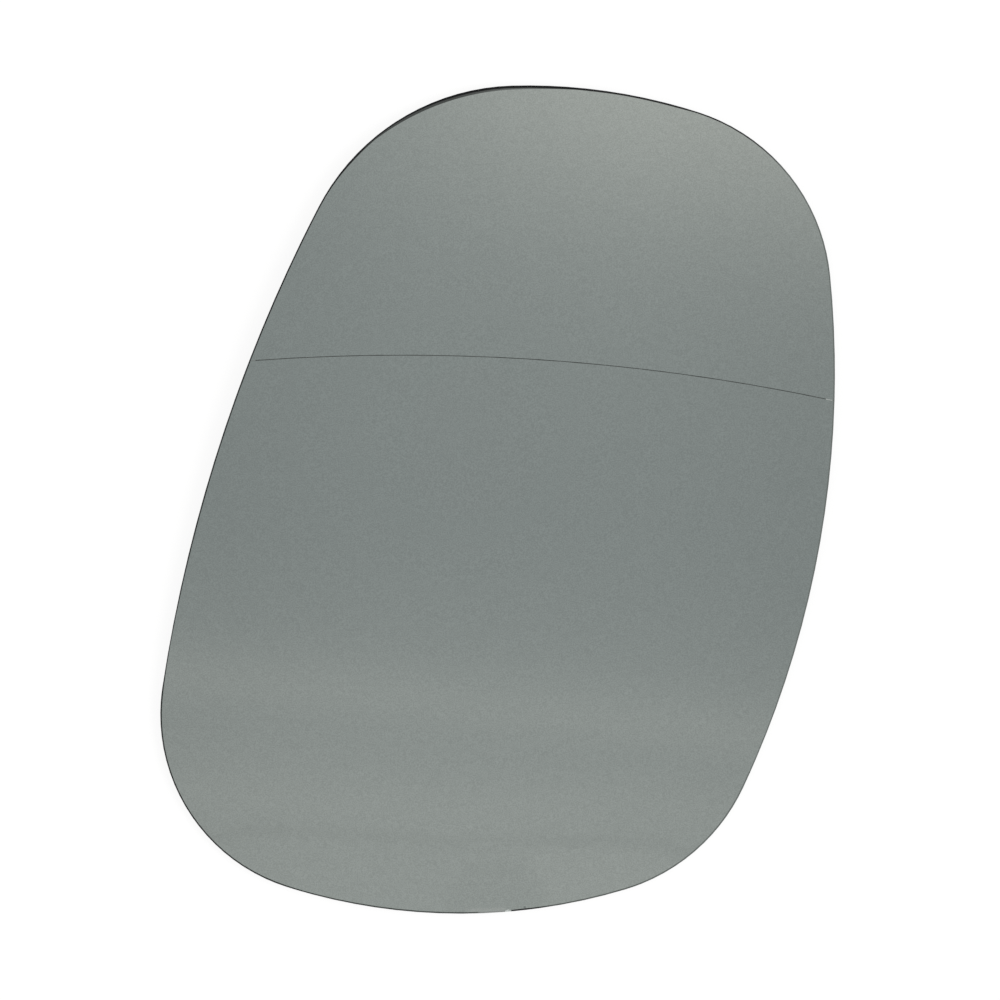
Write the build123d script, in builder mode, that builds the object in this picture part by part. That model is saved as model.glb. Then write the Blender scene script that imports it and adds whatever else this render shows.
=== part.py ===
"""Mirror glass of a car's door mirror: one pane of bent glass, in millimetres.

The pane lies on its concave back with the reflecting face up. X runs to the
right as the face is seen with the outboard end up, Y runs outboard, and Z
runs out of the reflecting face.
"""

import os
from math import asin, atan, cos, degrees, radians, sin, tan

from build123d import *

# Sheet
thickness = 2.0  # float glass, bent hot
main_radius = 1400.0  # sphere inboard of the dividing line
outer_radius = 250.0  # bend at the far end of the aspheric zone

# Where the bend sits under the outline
bend_x = -8.8  # upright plane that the glass bends in
crown_y = 15.7  # highest point of the lying pane
line_y = 29.05  # dividing line, in the bend plane
line_radius = 424.0  # arc of the dividing line, seen from the front

# Outline: four long arcs, each by its distance from the middle of the pane,
# the way its middle faces (degrees from X, anticlockwise) and its radius
right_offset = 66.1
right_bearing = -9.4
right_radius = 202.0
outboard_offset = 84.2
outboard_bearing = 102.7
outboard_radius = 114.0
left_offset = 57.9
left_bearing = 162.2
left_radius = 319.0
inboard_offset = 83.9
inboard_bearing = -74.6
inboard_radius = 118.0

# Corners that round off those arcs
right_outboard_corner = 39.0
left_outboard_corner = 46.0
left_inboard_corner = 37.0
right_inboard_corner = 39.0

# Ground edge: an even arris along both rims, and a wider facet that the wheel
# left on the front rim of the left outboard corner
arris = 0.3
facet_width = 0.95
facet_bearing = 107.0  # where it is widest, seen from the corner's centre
facet_slope = 28.0  # against the face, in degrees

# Dividing line: a V scribed across the face, just short of the arris
line_width = 0.17
line_depth = 0.07
line_gap = 0.1

# Small shell chip out of the front edge of the inboard end
chip_turn = -9.0  # from the middle of the inboard arc, in degrees
chip_radius = 0.7
chip_bite = 0.45

# Bent blank that the pane is cut from
blank_spare = 5.0  # past the outboard and the inboard end
blank_sweep = 34.0  # about the spin axis, in degrees
back_spans = 6  # of the curve of the back past the dividing line

# The face is a surface of revolution. Its axis passes through the centre of
# the sphere and leans so far that the dividing line, which is a circle about
# that axis, shows an arc of line_radius from the front.
line_slope = asin((line_y - crown_y) / main_radius)
spin_lean = atan((line_radius / main_radius - sin(line_slope)) / cos(line_slope))
spin = Axis((bend_x, crown_y, -main_radius), (0, -sin(spin_lean), cos(spin_lean)))
bend_plane = Plane(origin=(bend_x, crown_y, 0), x_dir=(0, 1, 0), z_dir=(1, 0, 0))

# The section of the blank starts inboard of the crown as an arc. Past the line
# the bend grows evenly from that of the sphere, so that face and reflection run
# on smoothly: the section there is a cubic.
blank_inboard = crown_y + inboard_offset + blank_spare
inboard_angle = degrees(asin(blank_inboard / main_radius))
arc_turn = -inboard_angle - degrees(line_slope)
zone = outboard_offset + blank_spare - line_y
fall = zone * tan(line_slope)
main_drop = zone**2 / main_radius / 2
added_drop = zone**2 * (1 / outer_radius - 1 / main_radius) / 6


def toward(bearing):
    """Unit vector in the plane of the pane."""
    return Vector(cos(radians(bearing)), sin(radians(bearing)))


def side(offset, bearing, radius, mode):
    """Add the whole circle of one side to the outline."""
    with Locations(toward(bearing) * (offset - radius)):
        Circle(radius, mode=mode)


def between(first_bearing, second_bearing):
    """Line out of the middle of the pane, halfway between two of its sides."""
    return Axis((0, 0, 0), toward(first_bearing) + toward(second_bearing))


def corner(first_bearing, second_bearing, radius):
    """Round the corner where two sides meet."""
    ranked = outline.vertices().sort_by(between(first_bearing, second_bearing))
    fillet(ranked[-1], radius)


def below(point, tangent):
    """Point of the back under a point of the front, square to the sheet."""
    return point + Vector(tangent.Y, -tangent.X) * thickness


def front_at(spot):
    """Point and outward normal of the front face above a spot."""
    upright = Axis((spot.X, spot.Y, -main_radius), (0, 0, 1))
    hits = pane.part.find_intersection_points(upright)
    return max(hits, key=lambda hit: hit[0].Z)


with BuildSketch() as outline:
    side(right_offset, right_bearing, right_radius, Mode.ADD)
    side(outboard_offset, outboard_bearing, outboard_radius, Mode.INTERSECT)
    side(left_offset, left_bearing, left_radius, Mode.INTERSECT)
    side(inboard_offset, inboard_bearing, inboard_radius, Mode.INTERSECT)
    corner(right_bearing, outboard_bearing, right_outboard_corner)
    corner(outboard_bearing, left_bearing, left_outboard_corner)
    corner(left_bearing, inboard_bearing, left_inboard_corner)
    corner(inboard_bearing, right_bearing, right_inboard_corner)

with BuildSketch(bend_plane) as sheet:
    with BuildLine():
        front_arc = CenterArc((0, -main_radius), main_radius, 90 + inboard_angle, arc_turn)
        line_point = front_arc @ 1
        front_zone = Bezier(
            line_point,
            line_point + Vector(zone / 3, -fall / 3),
            line_point + Vector(zone * 2 / 3, -fall * 2 / 3 - main_drop / 3),
            line_point + Vector(zone, -fall - main_drop - added_drop),
        )
        back_arc = CenterArc((0, -main_radius), main_radius - thickness, 90 + inboard_angle, arc_turn)
        stations = [span / back_spans for span in range(back_spans + 1)]
        back_points = [below(front_zone @ station, front_zone % station) for station in stations]
        Spline(back_points, tangents=(front_zone % 0, front_zone % 1))
        Line(front_arc @ 0, back_arc @ 0)
        Line(front_zone @ 1, back_points[-1])
    make_face()

with BuildSketch(bend_plane) as scribe:
    with Locations(line_point):
        Polygon((-line_width, line_depth), (0, -line_depth), (line_width, line_depth), align=None)

# The wheel that grinds the facet follows the outline, and so clears a wedge all
# round it. The slope of the wedge lies facet_width inside the outline at the
# level of the face, and goes as far above and below that as the sheet is thick.
slope_rise = 2 * thickness
slope_run = slope_rise / tan(radians(facet_slope))
with BuildSketch(Plane.XY.offset(slope_rise / 2)) as wheel_path:
    add(outline.sketch)
    offset(amount=slope_run / 2 - facet_width)
with BuildPart() as unground:
    extrude(wheel_path.sketch, amount=-slope_rise - thickness)
    top = unground.faces().sort_by(Axis.Z)[-1]
    chamfer(top.edges(), length=slope_run, angle=facet_slope, reference=top)
with BuildPart() as wheel:
    extrude(wheel_path.sketch, amount=-slope_rise)
    add(unground.part, mode=Mode.SUBTRACT)

with BuildPart() as line_cut:
    revolve(scribe.sketch.rotate(spin, -blank_sweep / 2), axis=spin, revolution_arc=blank_sweep)
    with BuildSketch():
        add(outline.sketch)
        offset(amount=-arris - line_gap)
    extrude(amount=blank_inboard, both=True, mode=Mode.INTERSECT)

with BuildPart() as pane:
    # Bent sheet, cut to the outline. The cut reaches as far up and down as the
    # blank is long, so it always passes through.
    revolve(sheet.sketch.rotate(spin, -blank_sweep / 2), axis=spin, revolution_arc=blank_sweep)
    extrude(outline.sketch, amount=blank_inboard, both=True, mode=Mode.INTERSECT)

    # Arris along the front and the back rim
    walls = pane.faces().filter_by(GeomType.CYLINDER)
    chamfer(walls.edges().filter_by(GeomType.LINE, reverse=True), length=arris)

    # Facet, ground with the pane tipped so that the face is level where the
    # facet is widest. To either side the face bends away from the wheel.
    outward = toward(facet_bearing)
    corner_arc = outline.edges().sort_by(between(outboard_bearing, left_bearing))[-1]
    border = corner_arc.arc_center + outward * (left_outboard_corner - facet_width)
    at_border = Plane(origin=border, x_dir=outward).to_local_coords(wheel.part)
    point, normal = front_at(border)
    with Locations(Plane(origin=point, x_dir=outward, z_dir=normal)):
        add(at_border, mode=Mode.SUBTRACT)

    # Dividing line
    add(line_cut.part, mode=Mode.SUBTRACT)

    # Chip, a round bite out of the front edge
    inboard_centre = toward(inboard_bearing) * (inboard_offset - inboard_radius)
    chip_way = toward(inboard_bearing + chip_turn)
    chip_height = front_at(inboard_centre + chip_way * (inboard_radius - arris - chip_bite))[0].Z
    chip_centre = inboard_centre + chip_way * (inboard_radius + chip_radius - chip_bite)
    with Locations(chip_centre + Vector(0, 0, chip_height)):
        Sphere(chip_radius, mode=Mode.SUBTRACT)

# The part's own frame starts under the middle of the lying pane
box = pane.part.bounding_box()
with BuildPart() as mirror_glass:
    with Locations((-box.center().X, -box.center().Y, -box.min.Z)):
        add(pane.part)
mirror_glass.part.label = "mirror_glass"

os.makedirs("parts", exist_ok=True)
export_step(mirror_glass.part, "parts/mirror_glass.step")
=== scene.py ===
# %% [markdown]
# # Glass of a car's door mirror
#
# This lesson dresses one bent pane of mirror glass. The pane comes from a CAD
# model and already has its true shape: a round-cornered outline, a face that
# bends more towards the outboard end, a scribed dividing line, a ground edge
# with one wider facet, and a small chip. What is left to do here is the light
# and the finishes. Lengths are in metres.

# %% Load the pane
from math import radians

import bpy
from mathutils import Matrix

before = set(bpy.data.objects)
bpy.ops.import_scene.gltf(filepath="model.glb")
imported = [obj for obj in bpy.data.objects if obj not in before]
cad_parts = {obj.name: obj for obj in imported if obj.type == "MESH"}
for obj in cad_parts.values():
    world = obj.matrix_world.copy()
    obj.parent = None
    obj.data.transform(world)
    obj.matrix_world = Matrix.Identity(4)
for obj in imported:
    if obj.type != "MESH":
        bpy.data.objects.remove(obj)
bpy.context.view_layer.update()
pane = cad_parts["mirror_glass"]

# %% [markdown]
# ## A way to write node trees
#
# A finish is a tree of nodes, and placing nodes one by one hides the idea
# behind them. This small class wraps a socket, so that maths on a surface is
# written as a plain expression. Every other node comes from one method, which
# takes the node's type, its settings and what feeds its sockets.


# %% A socket that can be used in expressions
class Wire:
    """A socket of a node tree. Arithmetic on it adds Math nodes."""

    def __init__(self, tree, socket=None):
        self.tree = tree
        self.socket = socket

    def node(self, kind, settings, sockets, output=0):
        """Add a node, set it up, feed its sockets and return one output."""
        made = self.tree.nodes.new(kind)
        for name, value in settings.items():
            setattr(made, name, value)
        for name, value in sockets.items():
            if isinstance(value, Wire):
                self.tree.links.new(value.socket, made.inputs[name])
            else:
                made.inputs[name].default_value = value
        return Wire(self.tree, made.outputs[output] if made.outputs else None)

    def maths(self, operation, first, second=0.0):
        """Math node on one or two values."""
        return self.node("ShaderNodeMath", {"operation": operation}, {0: first, 1: second})

    def __add__(self, other):
        return self.maths("ADD", self, other)

    def __radd__(self, other):
        return self.maths("ADD", other, self)

    def __sub__(self, other):
        return self.maths("SUBTRACT", self, other)

    def __rsub__(self, other):
        return self.maths("SUBTRACT", other, self)

    def __mul__(self, other):
        return self.maths("MULTIPLY", self, other)

    def __rmul__(self, other):
        return self.maths("MULTIPLY", other, self)

    def __abs__(self):
        return self.maths("ABSOLUTE", self)

    def wave(self):
        """Sine of an angle in radians."""
        return self.maths("SINE", self)

    def above(self, level):
        """1 where the value is over the level, otherwise 0."""
        return self.maths("GREATER_THAN", self, level)

    def below(self, level):
        """1 where the value is under the level, otherwise 0."""
        return self.maths("LESS_THAN", self, level)

    def at_least(self, other):
        """The larger of two values."""
        return self.maths("MAXIMUM", self, other)

    def rise(self, start, end, low=0.0, high=1.0):
        """Smooth step from low at start to high at end."""
        sockets = {0: self, 1: start, 2: end, 3: low, 4: high}
        return self.node("ShaderNodeMapRange", {"interpolation_type": "SMOOTHSTEP"}, sockets)

    def span(self, start, full, fading, end):
        """Smooth hump: 0 up to start, 1 from full to fading, 0 from end on."""
        return self.rise(start, full) * self.rise(end, fading)

    def part(self, axis):
        """The X, Y or Z part of a vector."""
        return self.node("ShaderNodeSeparateXYZ", {}, {0: self}, output=axis)

    def stretched(self, scale):
        """A vector with its X, Y and Z parts scaled apart."""
        return self.node("ShaderNodeVectorMath", {"operation": "MULTIPLY"}, {0: self, 1: scale})

    def distance_to(self, point):
        """How far a place is from a point."""
        settings = {"operation": "DISTANCE"}
        return self.node("ShaderNodeVectorMath", settings, {0: self, 1: point}, output="Value")

    def noise(self, scale, detail):
        """Soft noise over a place, about 0.5 on average."""
        sockets = {"Vector": self, "Scale": scale, "Detail": detail}
        return self.node("ShaderNodeTexNoise", {}, sockets, output="Fac")

    def wobble(self, scale, detail):
        """Soft noise over a place, about 0 on average."""
        return self.noise(scale, detail) - 0.5

    def blend(self, first, second):
        """Colour between two others, with this value as the share of the second."""
        # A Mix node takes colours at its sockets 6 and 7, and gives one at output 2.
        sockets = {0: self, 6: first, 7: second}
        return self.node("ShaderNodeMix", {"data_type": "RGBA"}, sockets, output=2)


# %% [markdown]
# ## Camera
#
# The photo looks straight at the face, with the outboard end up, so here the
# camera looks straight down on the lying pane. A camera with no perspective
# at all would do. A long lens far away looks the same from here, and is what
# a product is really photographed with. The photo's frame is 205 mm wide at
# the pane, and the pane lies turned by a small angle in it.

# %% Camera over the pane
view_width = 0.205
view_centre = (0.00021, -0.00006)
view_turn = 1.61
camera_height = 2.0

camera_data = bpy.data.cameras.new("camera")
camera_data.lens = camera_data.sensor_width * camera_height / view_width
camera = bpy.data.objects.new("camera", camera_data)
camera.location = (*view_centre, camera_height)
camera.rotation_euler = (0, 0, radians(view_turn))
bpy.context.scene.collection.objects.link(camera)
bpy.context.scene.camera = camera
print("lens in mm:", round(camera_data.lens))

# %% [markdown]
# ## Sky of the studio
#
# A mirror looks like what it reflects, so the surroundings are half its look.
# Seen from above, the pane shows only the part of the sky that lies within
# about 20 degrees of straight up. That part is mid grey. It gets lighter
# towards the outboard side, and in two soft bands towards the inboard side. The
# second ends at a faint dark seam, with a lighter patch past it on the right.
# Cards hung over the pane could do the same, but they would have to be kept out
# of the camera's way. A sky that is graded by direction is never in the way.

# %% Directions of the sky
world = bpy.data.worlds.new("studio")
world.use_nodes = True
world.node_tree.nodes.clear()
bpy.context.scene.world = world
sky = Wire(world.node_tree)
way = sky.node("ShaderNodeTexCoord", {}, {}, output="Generated")
across = way.part("X")
along = way.part("Y")
up = way.part("Z")
print("nodes that give directions:", len(world.node_tree.nodes))

# %% Overhead, and lighter towards the outboard side
overhead_grey = 0.48
middle_across = 0.019
side_reach = (0.026, 0.2)
side_dimming = 0.055
outboard_along = (-0.03, 0.342)
outboard_across = (-0.14, 0.089)
outboard_glow = 0.257

grey = overhead_grey - side_dimming * abs(across - middle_across).rise(*side_reach)
outboard = along.rise(*outboard_along) * across.rise(*outboard_across)
glow = outboard_glow * outboard
print("nodes with the outboard glow:", len(world.node_tree.nodes))

# %% First band towards the inboard side
inward_reach = (0.025, 0.175)
inboard_glow = 0.12
band_slant = 0.07
band_start = (0.0755, 0.115)
band_end = (0.1, 0.119)
band_glow = 0.0535

inward = -band_slant * across - along
band = inward.rise(*band_start) - inward.rise(*band_end)
glow = glow + inboard_glow * inward.rise(*inward_reach) + band_glow * band
print("nodes with the first band:", len(world.node_tree.nodes))

# %% Second band, its seam and the patch past it
seam_along = -0.1578
seam_bend = 0.065
seam_edge = (0.004, 0.0005)
seam_dimming = 0.024
strip_start = (0.03, 0.01)
strip_end = (0.0, 0.013, 0.25, 1.0)
strip_glow = 0.0175
patch_along = (-0.001, -0.004)
patch_across = (0.02, 0.035)
patch_glow = 0.018

before_seam = along - seam_along - seam_bend * abs(across)
strip = before_seam.rise(*strip_start) * before_seam.rise(*strip_end)
patch = before_seam.rise(*patch_along) * across.rise(*patch_across)
glow = glow + strip_glow * strip + patch_glow * patch
grey = grey - seam_dimming * abs(before_seam).rise(*seam_edge)
print("nodes with the second band:", len(world.node_tree.nodes))

# %% [markdown]
# Lower down come the bright walls of the room. Plain walls would give the same
# light, but a mirror that has nothing to show looks matt. So soft level bands
# run round them, which the bent pane shows from any side. The glow of the sky
# is a little warmer than its grey.

# %% Walls of the room
warmth = (1.15, 1.0, 0.9)
wall_top = (0.9, 0.5)
wall_light = 0.9
wall_bands = 0.2
bands_pace = 26.0

channels = {channel: grey + tint * glow for channel, tint in enumerate(warmth)}
ceiling = sky.node("ShaderNodeCombineColor", {}, channels)
walls = wall_light + wall_bands * (bands_pace * up).wave()
light = up.rise(*wall_top).blend(ceiling, walls)
shine = sky.node("ShaderNodeBackground", {}, {"Color": light})
sky.node("ShaderNodeOutputWorld", {}, {"Surface": shine})
bpy.context.scene.view_settings.view_transform = "Standard"
print("nodes of the sky:", len(world.node_tree.nodes))

# %% [markdown]
# ## Floor and lamp
#
# The pane lies on white paper. Paper that is only lit would come out grey
# beside the bright sky. More lamps would whiten it, and the pane as well. So
# the paper has a glow of its own, which only the camera and reflections see,
# and the lit part keeps the shadow. One wide softbox to the right gives that
# shadow a direction, and lights the right side of the ground edge.

# %% Floor
floor_half = 10.0
paper_grey = (0.2, 0.2, 0.2, 1)
paper_lift = 0.86

paper = bpy.data.materials.new("paper")
paper.use_nodes = True
paper.node_tree.nodes.clear()
sheet = Wire(paper.node_tree)
seen = sum(
    sheet.node("ShaderNodeLightPath", {}, {}, output=f"Is {ray} Ray")
    for ray in ("Camera", "Glossy", "Transmission")
)
matt = sheet.node("ShaderNodeBsdfDiffuse", {}, {"Color": paper_grey})
lift = sheet.node("ShaderNodeEmission", {}, {"Strength": paper_lift * seen})
lit = sheet.node("ShaderNodeAddShader", {}, {0: matt, 1: lift})
sheet.node("ShaderNodeOutputMaterial", {}, {"Surface": lit})

floor_mesh = bpy.data.meshes.new("floor")
turns = [(-1, -1), (1, -1), (1, 1), (-1, 1)]
floor_mesh.from_pydata([(x * floor_half, y * floor_half, 0) for x, y in turns], [], [range(4)])
floor_mesh.materials.append(paper)
floor = bpy.data.objects.new("floor", floor_mesh)
bpy.context.scene.collection.objects.link(floor)
print("floor in m:", list(floor.dimensions))

# %% Softbox
softbox_size = 1.6
softbox_watts = 16
softbox_place = (1.7, -0.3, 1.8)

lamp_data = bpy.data.lights.new("softbox", "AREA")
lamp_data.size = softbox_size
lamp_data.energy = softbox_watts
lamp = bpy.data.objects.new("softbox", lamp_data)
lamp.location = softbox_place
lamp.rotation_euler = (-lamp.location).to_track_quat("-Z", "Y").to_euler()
bpy.context.scene.collection.objects.link(lamp)
print("softbox from the pane in m:", round(lamp.location.length, 2))

# %% [markdown]
# ## From a recipe to a finish
#
# Each finish below is a recipe: a function that takes a place on the pane and
# returns what goes into the sockets of the shader. Each could set up its own
# material. One helper does that for all of them instead, so that the recipes
# hold nothing but the finish itself.


# %% Make a finish
def make_finish(recipe):
    """Material whose shader is fed by a recipe."""
    material = bpy.data.materials.new(recipe.__name__)
    material.use_nodes = True
    material.node_tree.nodes.clear()
    base = Wire(material.node_tree)
    place = base.node("ShaderNodeTexCoord", {}, {}, output="Object")
    shader = base.node("ShaderNodeBsdfPrincipled", {}, recipe(place))
    base.node("ShaderNodeOutputMaterial", {}, {"Surface": shader})
    print(material.name, "takes", len(material.node_tree.nodes), "nodes")
    return material


# %% [markdown]
# ## Painted shade and edge paint on the face
#
# Near black is painted along the outboard end as painted shade, over the edge
# and a little way onto the face. Dark paint lies on a short stretch beside the
# chip, crept a little way over the face there, and one drop of it ran further.
# Colours kept at the corners of the mesh would be too coarse for so fine a
# border. The distance from the rim is as fine as the picture, and it follows
# from the arcs that the outline is made of.

# %% Distance from the rim
flatten = (1, 1, 0)
corner_centre = (0.00289, 0.03892, 0)
corner_radius = 0.046
outboard_centre = (0.00671, -0.02897, 0)
outboard_radius = 0.114
arcs_meet = 0.0003
inboard_centre = (-0.0089, 0.03298, 0)
inboard_radius = 0.118


def inside_outboard(place):
    """Distance from the rim of the outboard end."""
    plan = place.stretched(flatten)
    in_corner = corner_radius - plan.distance_to(corner_centre)
    in_outboard = outboard_radius - plan.distance_to(outboard_centre)
    return in_corner + place.part("X").above(arcs_meet) * (in_outboard - in_corner)


def inside_inboard(place):
    """Distance from the rim of the inboard end."""
    return inboard_radius - place.stretched(flatten).distance_to(inboard_centre)


# %% Painted shade and paint that crept over the rim
outboard_from = 0.05
inboard_from = -0.08
paint_and_shade_reach = 0.00025
outboard_start = -0.038
outboard_end = 0.041
outboard_span = (-0.0375, -0.031, 0.033, 0.041)
outboard_more = 0.00017
thickest_from = (0.023, 0.017)
thickest_more = 0.00006
inboard_span = (0.0046, 0.0062, 0.0078, 0.0096)
inboard_more = 0.00008
drop_place = (0.0076, -0.08332, 0.0021)
drop_radius = 0.00024
drop_share = 0.5


def crept_paint_and_shade(place):
    """1 on painted shade at the outboard end and on paint near the chip, less where the drop is
    thin.
    """
    x = place.part("X")
    y = place.part("Y")
    # Painted shade: near black a little way in from the outboard rim.
    outboard_reach = paint_and_shade_reach + outboard_more * x.span(*outboard_span)
    outboard_reach = outboard_reach + thickest_more * x.rise(*thickest_from)
    outboard_shade = (inside_outboard(place) - outboard_reach).below(0) * y.above(outboard_from)
    outboard_shade = outboard_shade * x.above(outboard_start) * x.below(outboard_end)
    inboard_reach = paint_and_shade_reach + inboard_more * x.span(*inboard_span)
    inboard_paint = (inside_inboard(place) - inboard_reach).below(0) * y.below(inboard_from)
    drop = drop_share * place.distance_to(drop_place).below(drop_radius)
    return drop.at_least((outboard_shade + inboard_paint).above(0))


# %% [markdown]
# ## Marks on the face
#
# Real panes aren't spotless. A few specks of dust, a finger's smudge near the
# chip, a scuffed stretch along the rim there and a small nick at the outboard
# end keep this one from looking like a hole in the picture. Each could be a
# patch of mesh laid on the glass. A mask that is 1 on the mark and 0 beside it
# costs no mesh and can fade out softly.

# %% Specks and smudge
smudge_place = (0.0013, -0.0817, 0)
smudge_squeeze = (0.75, 1, 0)
smudge_edge = (0.00902, 0.00656)
smudge_ragged = 0.003
smudge_grain = (130, 3)


def specks(place, spacing, radius):
    """1 on specks of dust that lie about a spacing apart."""
    cells = {"Vector": place, "Scale": 1 / spacing}
    near = place.node("ShaderNodeTexVoronoi", {}, cells, output="Distance")
    return near.below(radius / spacing)


def smudge_mask(place):
    """1 on the smudge, with a ragged soft border."""
    blot = place.stretched(smudge_squeeze).distance_to(smudge_place)
    return (blot + smudge_ragged * place.wobble(*smudge_grain)).rise(*smudge_edge)


# %% Nick and scuff
nick_x = 0.0036
nick_y = 0.0761
nick_slant = 0.42
nick_half_length = (0.0016, 0.0008)
nick_half_width = (0.0006, 0.0001)
scuff_span = (-0.0052, -0.0028, 0.003, 0.0042)
scuff_edge = (0.0012, 0.0007)
scuff_ragged = 0.0008
scuff_grain = (1500, 2)


def nick_mask(place):
    """1 along the nick, which slants down to the right."""
    past = place.part("X") - nick_x
    beside = place.part("Y") - nick_y + nick_slant * past
    return abs(past).rise(*nick_half_length) * abs(beside).rise(*nick_half_width)


def scuff_mask(place):
    """1 on the scuffed stretch left of the chip, along the rim."""
    stretch = place.part("X").span(*scuff_span) * place.part("Y").below(inboard_from)
    inside = inside_inboard(place) + scuff_ragged * place.wobble(*scuff_grain)
    return stretch * inside.rise(*scuff_edge)


# %% [markdown]
# ## Silvered face
#
# The glass is clear and carries its mirror coat behind it. It could be built as
# clear glass over a silvered sheet, at the cost of many more bounces of light.
# A metal with a clear coat over it gives the same two reflections: the strong
# one with the faint green of the glass, and the weak one of its surface. A thin
# haze, a film of fine dust and wipe marks that are a little rougher lie all
# over it, and the marks lie on top.

# %% Haze, film and wipe marks
noise_middle = (0.35, 0.65)
haze_coarse = (30, 4)
haze_fine = (220, 2)
haze_fine_share = 0.5
film_coarse = (900, 2)
film_fine = (4200, 1)
film_fine_share = 0.8
wipe_squeeze = (14, 90, 90)
wipe_edge = (0.5, 0.8)
stripe_grain = (1, 3)


def two_grains(place, coarse, fine, fine_share):
    """Coarse and fine noise together, spread from 0 to 1."""
    mixed = (1 - fine_share) * place.noise(*coarse) + fine_share * place.noise(*fine)
    return mixed.rise(*noise_middle)


def clean_mask(place):
    """1 where the glass is clean, 0 where haze dulls it."""
    return two_grains(place, haze_coarse, haze_fine, haze_fine_share)


def film_mask(place):
    """1 on fine dust, 0 between it."""
    return two_grains(place, film_coarse, film_fine, film_fine_share)


def wipe_mask(place):
    """1 along wipe marks, which run across the pane."""
    return place.stretched(wipe_squeeze).noise(*stripe_grain).rise(*wipe_edge)


# %% Silvered face
silver_dull = (0.4475, 0.513, 0.496, 1)
silver_clean = (0.4555, 0.521, 0.504, 1)
dust_grey = (0.29, 0.333, 0.321, 1)
dust_pale = (0.66, 0.7, 0.68, 1)
paint_and_shade_black = (0.006, 0.007, 0.007, 1)
dark_spacing = 0.02
dark_radius = 0.00012
dark_share = 0.6
pale_spacing = 0.0007
pale_radius = 0.00011
pale_share = 0.12
film_share = 0.5
smudge_share = 0.09
nick_share = 0.15
scuff_share = 0.25
glass_ior = 1.52
glass_roughness = 0.02
film_roughness = 0.01
wipe_roughness = 0.02
mark_roughness = 0.3


def silvered_face(place):
    """Mirror coat behind clear glass, with dust, marks, crept paint and painted shade at the
    rim.
    """
    film = film_mask(place)
    wipe = wipe_mask(place)
    dark = specks(place, dark_spacing, dark_radius)
    pale = specks(place, pale_spacing, pale_radius)
    smudge = smudge_mask(place)
    scuff = scuff_share * scuff_mask(place)
    # Painted shade at the outboard rim, and paint near the chip, turn the face near black.
    blackened = crept_paint_and_shade(place)

    dulled = film_share * film + dark_share * dark
    dulled = dulled + smudge_share * smudge + nick_share * nick_mask(place)
    silver_tone = clean_mask(place).blend(silver_dull, silver_clean)
    colour = dulled.blend(silver_tone, dust_grey)
    colour = (pale_share * pale + scuff).blend(colour, dust_pale)
    roughness = glass_roughness + film_roughness * film + wipe_roughness * (wipe + smudge)
    return {
        "Base Color": blackened.blend(colour, paint_and_shade_black),
        "Metallic": 1 - blackened,
        "Roughness": roughness + mark_roughness * (dark + scuff + blackened),
        "Coat Weight": 1 - blackened,
        "Coat Roughness": glass_roughness,
        "Coat IOR": glass_ior,
    }


silver = make_finish(silvered_face)

# %% [markdown]
# ## Front rim
#
# The rim is ground all round, which leaves a dull grey-green arris with fine
# lines along it. Its colour is painted lighter towards the right, as painted
# light where the softbox falls, and painted shade turns it near black towards
# the outboard end. The chip at the inboard end shows clean broken glass, with
# a scuffed stretch on its left and a painted one on its right. The lines could
# follow a rim that is unrolled. Noise that is pressed flat needs no unrolling,
# because the rim runs nearly level.

# %% Traces of the wheel, and painted shade at the outboard end
lines_squeeze = (150, 150, 6000)
lines_depth = 0.00004
ground_relief = 0.5
patch_grain = (90, 3)
shade_lean = 0.39
shade_edge = (0.045, 0.057)
shade_ragged = 0.012


def wheel_lines(place):
    """Fine lines that the grinding wheel left along the edge."""
    return place.stretched(lines_squeeze).noise(*stripe_grain)


def lined_normal(lines, relief):
    """Bump of those lines."""
    bump = {"Strength": relief, "Distance": lines_depth, "Height": lines}
    return lines.node("ShaderNodeBump", {}, bump)


def patches(place):
    """Uneven patches along the edge, about 0 on average."""
    return place.wobble(*patch_grain)


def outboard_shade_share(place):
    """How much painted shade a place gets: all of it at the outboard end."""
    # Painted shade: the edge turns near black towards the outboard end.
    towards_end = place.part("Y") - shade_lean * place.part("X")
    return (towards_end + shade_ragged * patches(place)).rise(*shade_edge)


# %% Front rim
edge_dark = (0.022, 0.026, 0.024, 1)
edge_painted_light = (0.175, 0.195, 0.185, 1)
painted_light_span = (-0.075, 0.075)
edge_ragged = 0.03
rim_scuffed = (0.3, 0.32, 0.31, 1)
rim_scuff_start = (-0.0024, -0.0012)
rim_scuff_end = 0.0045
painted_span = (0.0045, 0.0052, 0.0085, 0.0145)
fracture_white = (0.6, 0.64, 0.62, 1)
chip_centre = (0.004286, -0.08454, 0.002103)
chip_edge = (0.000805, 0.000714)
lines_share = 0.4
rim_scuff_share = 0.9
rim_roughness = 0.5
shade_smoothing = 0.1
fracture_smoothing = 0.3
rim_gloss = 0.1


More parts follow.
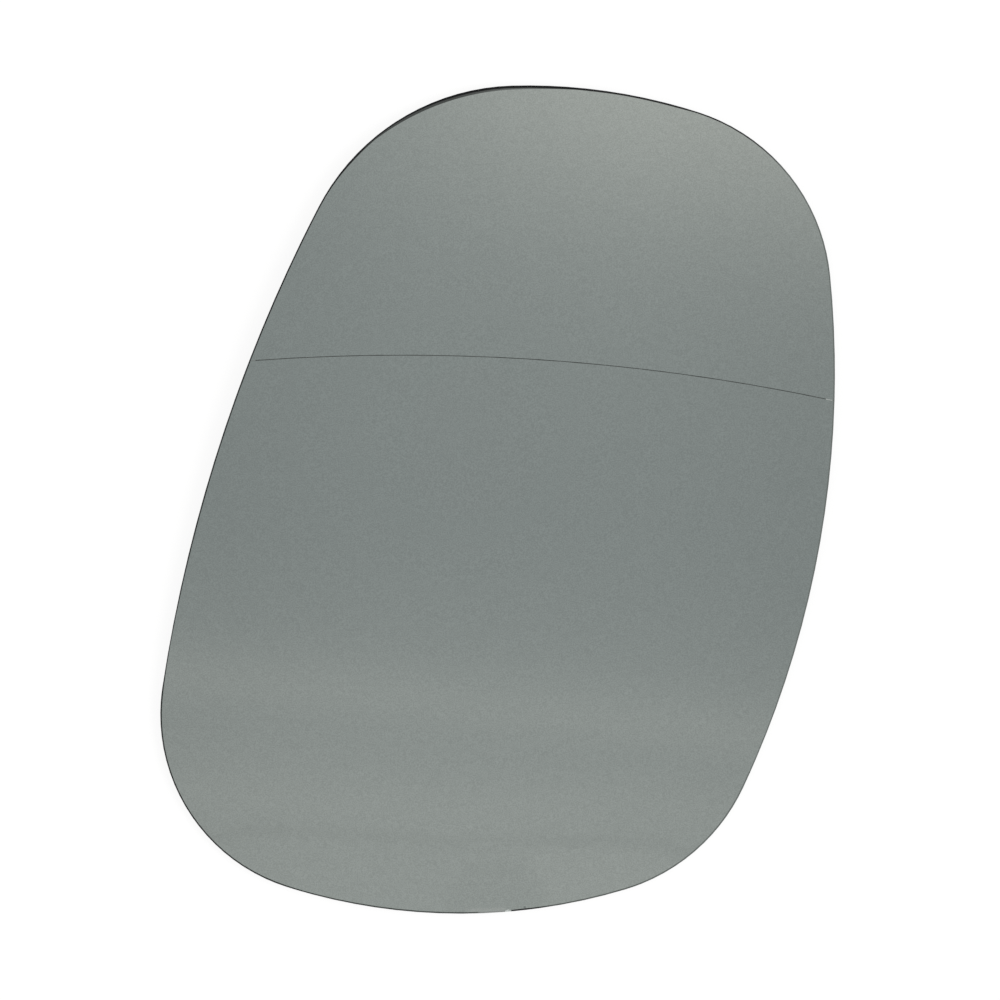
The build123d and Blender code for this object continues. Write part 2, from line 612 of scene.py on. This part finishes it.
def ground_rim(place):
    """Ground arris of the front, with painted light and shade, paint, a scuff and the chip's
    fracture.
    """
    x = place.part("X")
    inboard_end = place.part("Y").below(inboard_from)
    lines = wheel_lines(place)
    painted_shade = outboard_shade_share(place)
    painted_strip = x.span(*painted_span) * inboard_end
    scuffed = x.rise(*rim_scuff_start) * x.below(rim_scuff_end) * inboard_end
    chip = place.distance_to(chip_centre).rise(*chip_edge)

    # Painted light: the rim is lighter towards the right, where the softbox falls.
    colour = (x + edge_ragged * patches(place)).rise(*painted_light_span).blend(edge_dark, edge_painted_light)
    colour = (lines_share * lines).blend(colour, edge_dark)
    # Painted shade at the outboard end, and paint on the strip beside the chip.
    colour = (painted_shade + painted_strip).blend(colour, paint_and_shade_black)
    colour = (rim_scuff_share * scuffed).blend(colour, rim_scuffed)
    return {
        "Base Color": chip.blend(colour, fracture_white),
        "Roughness": rim_roughness - shade_smoothing * painted_shade - fracture_smoothing * chip,
        "Specular IOR Level": rim_gloss,
        "Normal": lined_normal(lines, ground_relief),
    }


rim_finish = make_finish(ground_rim)

# %% [markdown]
# ## Wall of the edge
#
# Below the rim the edge is bare ground glass, and light that comes through the
# pane makes it greener than the rim. Painted shade of the outboard end reaches
# some way down it from the front, and the spray that lacquered the back reached
# some way up it.
# Strips cut into the mesh could carry both, but they would change it. So both
# go by the depth under the face, which is a sphere that drops faster past the
# dividing line.

# %% Depth under the face
arc_centre = (-0.00861, -0.394276, 0)
arc_radius = 0.423424
sphere_centre = (-0.00864, 0.0158, -1.39431)
sphere_radius = 1.4
zone_growth = 9.1


def past_line(place):
    """Distance outboard of the dividing line, negative inboard of it."""
    return place.stretched(flatten).distance_to(arc_centre) - arc_radius


def under_face(place):
    """Depth of a place under the reflecting face."""
    past = past_line(place).at_least(0.0)
    return sphere_radius - place.distance_to(sphere_centre) - zone_growth * past * past * past


# %% Wall of the edge
wall_deep = (0.06, 0.085, 0.075, 1)
wall_worn = (0.2, 0.25, 0.225, 1)
worn_edge = (0.3, 0.75)
worn_grain = (60, 3)
worn_share = 0.5
lacquer_dark = (0.035, 0.037, 0.038, 1)
depth_ragged = 0.0006
depth_grain = (350, 4)
shade_end = (0.0011, 0.0008)
spray_start = (0.0014, 0.0017)
wall_roughness = 0.45
wall_gloss = 0.3


def ground_wall(place):
    """Bare ground glass between the painted shade of the front and the spray of the back."""
    lines = wheel_lines(place)
    worn = (lines + worn_share * place.wobble(*worn_grain)).rise(*worn_edge)
    depth = under_face(place) + depth_ragged * place.wobble(*depth_grain)
    # Painted shade: near black down the wall from the front at the outboard end.
    blackened = outboard_shade_share(place) * depth.rise(*shade_end)
    spray = depth.rise(*spray_start)

    colour = blackened.blend(worn.blend(wall_deep, wall_worn), paint_and_shade_black)
    return {
        "Base Color": spray.blend(colour, lacquer_dark),
        "Roughness": wall_roughness - shade_smoothing * blackened,
        "Specular IOR Level": wall_gloss,
        "Normal": lined_normal(lines, ground_relief),
    }


wall_finish = make_finish(ground_wall)

# %% [markdown]
# ## Wide facet
#
# The wheel cut deeper along the left outboard corner. Painted shade, near black,
# covers only the outer part of that facet. Inside it the bare ground glass is
# dark grey, and to the right it clears towards the tone of the face. Two strips
# of mesh could part the shade and the glass, but the distance from the rim does
# so as well, and lets the border waver.

# %% Wide facet
facet_grey = (0.08, 0.086, 0.083, 1)
facet_clear = (0.22, 0.237, 0.228, 1)
facet_ragged = 0.00012
facet_grain = (400, 3)
shade_width = (-0.028, -0.009, 0.00026, 0.0005)
shade_border = (-0.00006, 0.00006)
clear_inside = (0.00045, 0.0008)
clear_right = (-0.012, 0.006)
facet_lines_share = 0.3
facet_relief = 0.4
shade_roughness = 0.4
bare_roughening = 0.1


def wide_facet(place):
    """Facet with painted shade on its outer part and bare ground glass inside it."""
    x = place.part("X")
    lines = wheel_lines(place)
    inside = inside_outboard(place) + facet_ragged * place.wobble(*facet_grain)
    # Painted shade: near black on the outer part of the facet.
    bare = (inside - x.rise(*shade_width)).rise(*shade_border)
    clear = inside.rise(*clear_inside) * x.rise(*clear_right)

    glass = clear.blend(facet_grey, facet_clear)
    glass = (facet_lines_share * lines).blend(glass, edge_dark)
    return {
        "Base Color": bare.blend(paint_and_shade_black, glass),
        "Roughness": shade_roughness + bare_roughening * bare,
        "Specular IOR Level": rim_gloss,
        "Normal": lined_normal(lines, facet_relief),
    }


facet_finish = make_finish(wide_facet)

# %% [markdown]
# ## Dividing line
#
# The line is a fine groove that is rubbed with dark lacquer. The lacquer stops
# short of both ends. At the right one the bare groove is painted light, a painted
# highlight of the light it catches there. A dark arc painted on the face would
# do from afar. The groove is there already, so it only needs its fill.

# %% Dividing line
fill_dark = (0.07, 0.077, 0.074, 1)
fill_thin = (0.11, 0.12, 0.115, 1)
thin_grain = (400, 3)
thin_edge = (0.35, 0.7)
groove_bare = (0.25, 0.275, 0.265, 1)
groove_painted_highlight = (0.47, 0.5, 0.48, 1)
fill_start = -0.0506
fill_end = 0.0663
fill_roughness = 0.5
thin_roughening = 0.1
fill_gloss = 0.2


def line_fill(place):
    """Dark lacquer in the groove, with both ends left bare and a painted highlight at the right
    one.
    """
    x = place.part("X")
    thin = place.noise(*thin_grain).rise(*thin_edge)
    colour = x.below(fill_start).blend(thin.blend(fill_dark, fill_thin), groove_bare)
    return {
        # Painted highlight: the bare right end of the groove is lighter.
        "Base Color": x.above(fill_end).blend(colour, groove_painted_highlight),
        "Roughness": fill_roughness + thin_roughening * thin,
        "Specular IOR Level": fill_gloss,
    }


fill_finish = make_finish(line_fill)

# %% [markdown]
# ## Lacquered back
#
# Behind the mirror coat lies a sprayed lacquer that keeps damp off it. It is
# dark grey, half matt, with the soft skin of spray and paler clouds. Droplets
# could be laid on it one by one. But spray has no direction, so plain noise
# serves for both: fine for the skin, coarse for the clouds.

# %% Lacquered back
lacquer_pale = (0.055, 0.057, 0.057, 1)
cloud_grain = (35, 4)
cloud_edge = (0.35, 0.7)
skin_grain = (900, 2)
skin_depth = 0.00015
skin_relief = 0.4
lacquer_roughness = 0.38
cloud_roughening = 0.12


def lacquered_back(place):
    """Sprayed lacquer with a soft skin and paler clouds."""
    cloud = place.noise(*cloud_grain).rise(*cloud_edge)
    skin = place.noise(*skin_grain)
    bump = {"Strength": skin_relief, "Distance": skin_depth, "Height": skin}
    return {
        "Base Color": cloud.blend(lacquer_dark, lacquer_pale),
        "Roughness": lacquer_roughness + cloud_roughening * cloud,
        "Normal": place.node("ShaderNodeBump", {}, bump),
    }


back_finish = make_finish(lacquered_back)

# %% [markdown]
# ## Each finish in its place
#
# The pane is one mesh with one slot. Which finish a polygon gets can be read
# from the way it faces: the face looks up, the back looks down, and the edge
# lies between, with its rim above its wall. The wide facet lies flatter than
# the rest of the rim, at the outboard end. The groove is told from the rim by
# its distance from its own arc. Slots could be written to each polygon, but a
# short geometry node tree leaves the mesh itself untouched.

# %% Hand out the finishes
face_tilt = 0.95
facet_tilt = 0.78
rim_tilt = 0.03
facet_from = 0.06
groove_reach = 0.00015

pane.material_slots[0].material = silver

tree = bpy.data.node_groups.new("finishes", "GeometryNodeTree")
tree.interface.new_socket("Pane", in_out="INPUT", socket_type="NodeSocketGeometry")
tree.interface.new_socket("Pane", in_out="OUTPUT", socket_type="NodeSocketGeometry")
start = Wire(tree)
facing = start.node("GeometryNodeInputNormal", {}, {}, output="True Normal").part("Z")
spot = start.node("GeometryNodeInputPosition", {}, {})
edge = facing.below(face_tilt)
rim = edge * facing.above(rim_tilt)
places = {
    wall_finish: edge,
    rim_finish: rim,
    facet_finish: rim * facing.above(facet_tilt) * spot.part("Y").above(facet_from),
    fill_finish: rim * abs(past_line(spot)).below(groove_reach),
    back_finish: facing.below(-face_tilt),
}
dressed = start.node("NodeGroupInput", {}, {})
for finish, chosen in places.items():
    sockets = {"Geometry": dressed, "Selection": chosen, "Material": finish}
    dressed = start.node("GeometryNodeSetMaterial", {}, sockets)
start.node("NodeGroupOutput", {}, {0: dressed})
pane.modifiers.new("finishes", "NODES").node_group = tree
print("finishes:", [silver.name, *(finish.name for finish in places)])
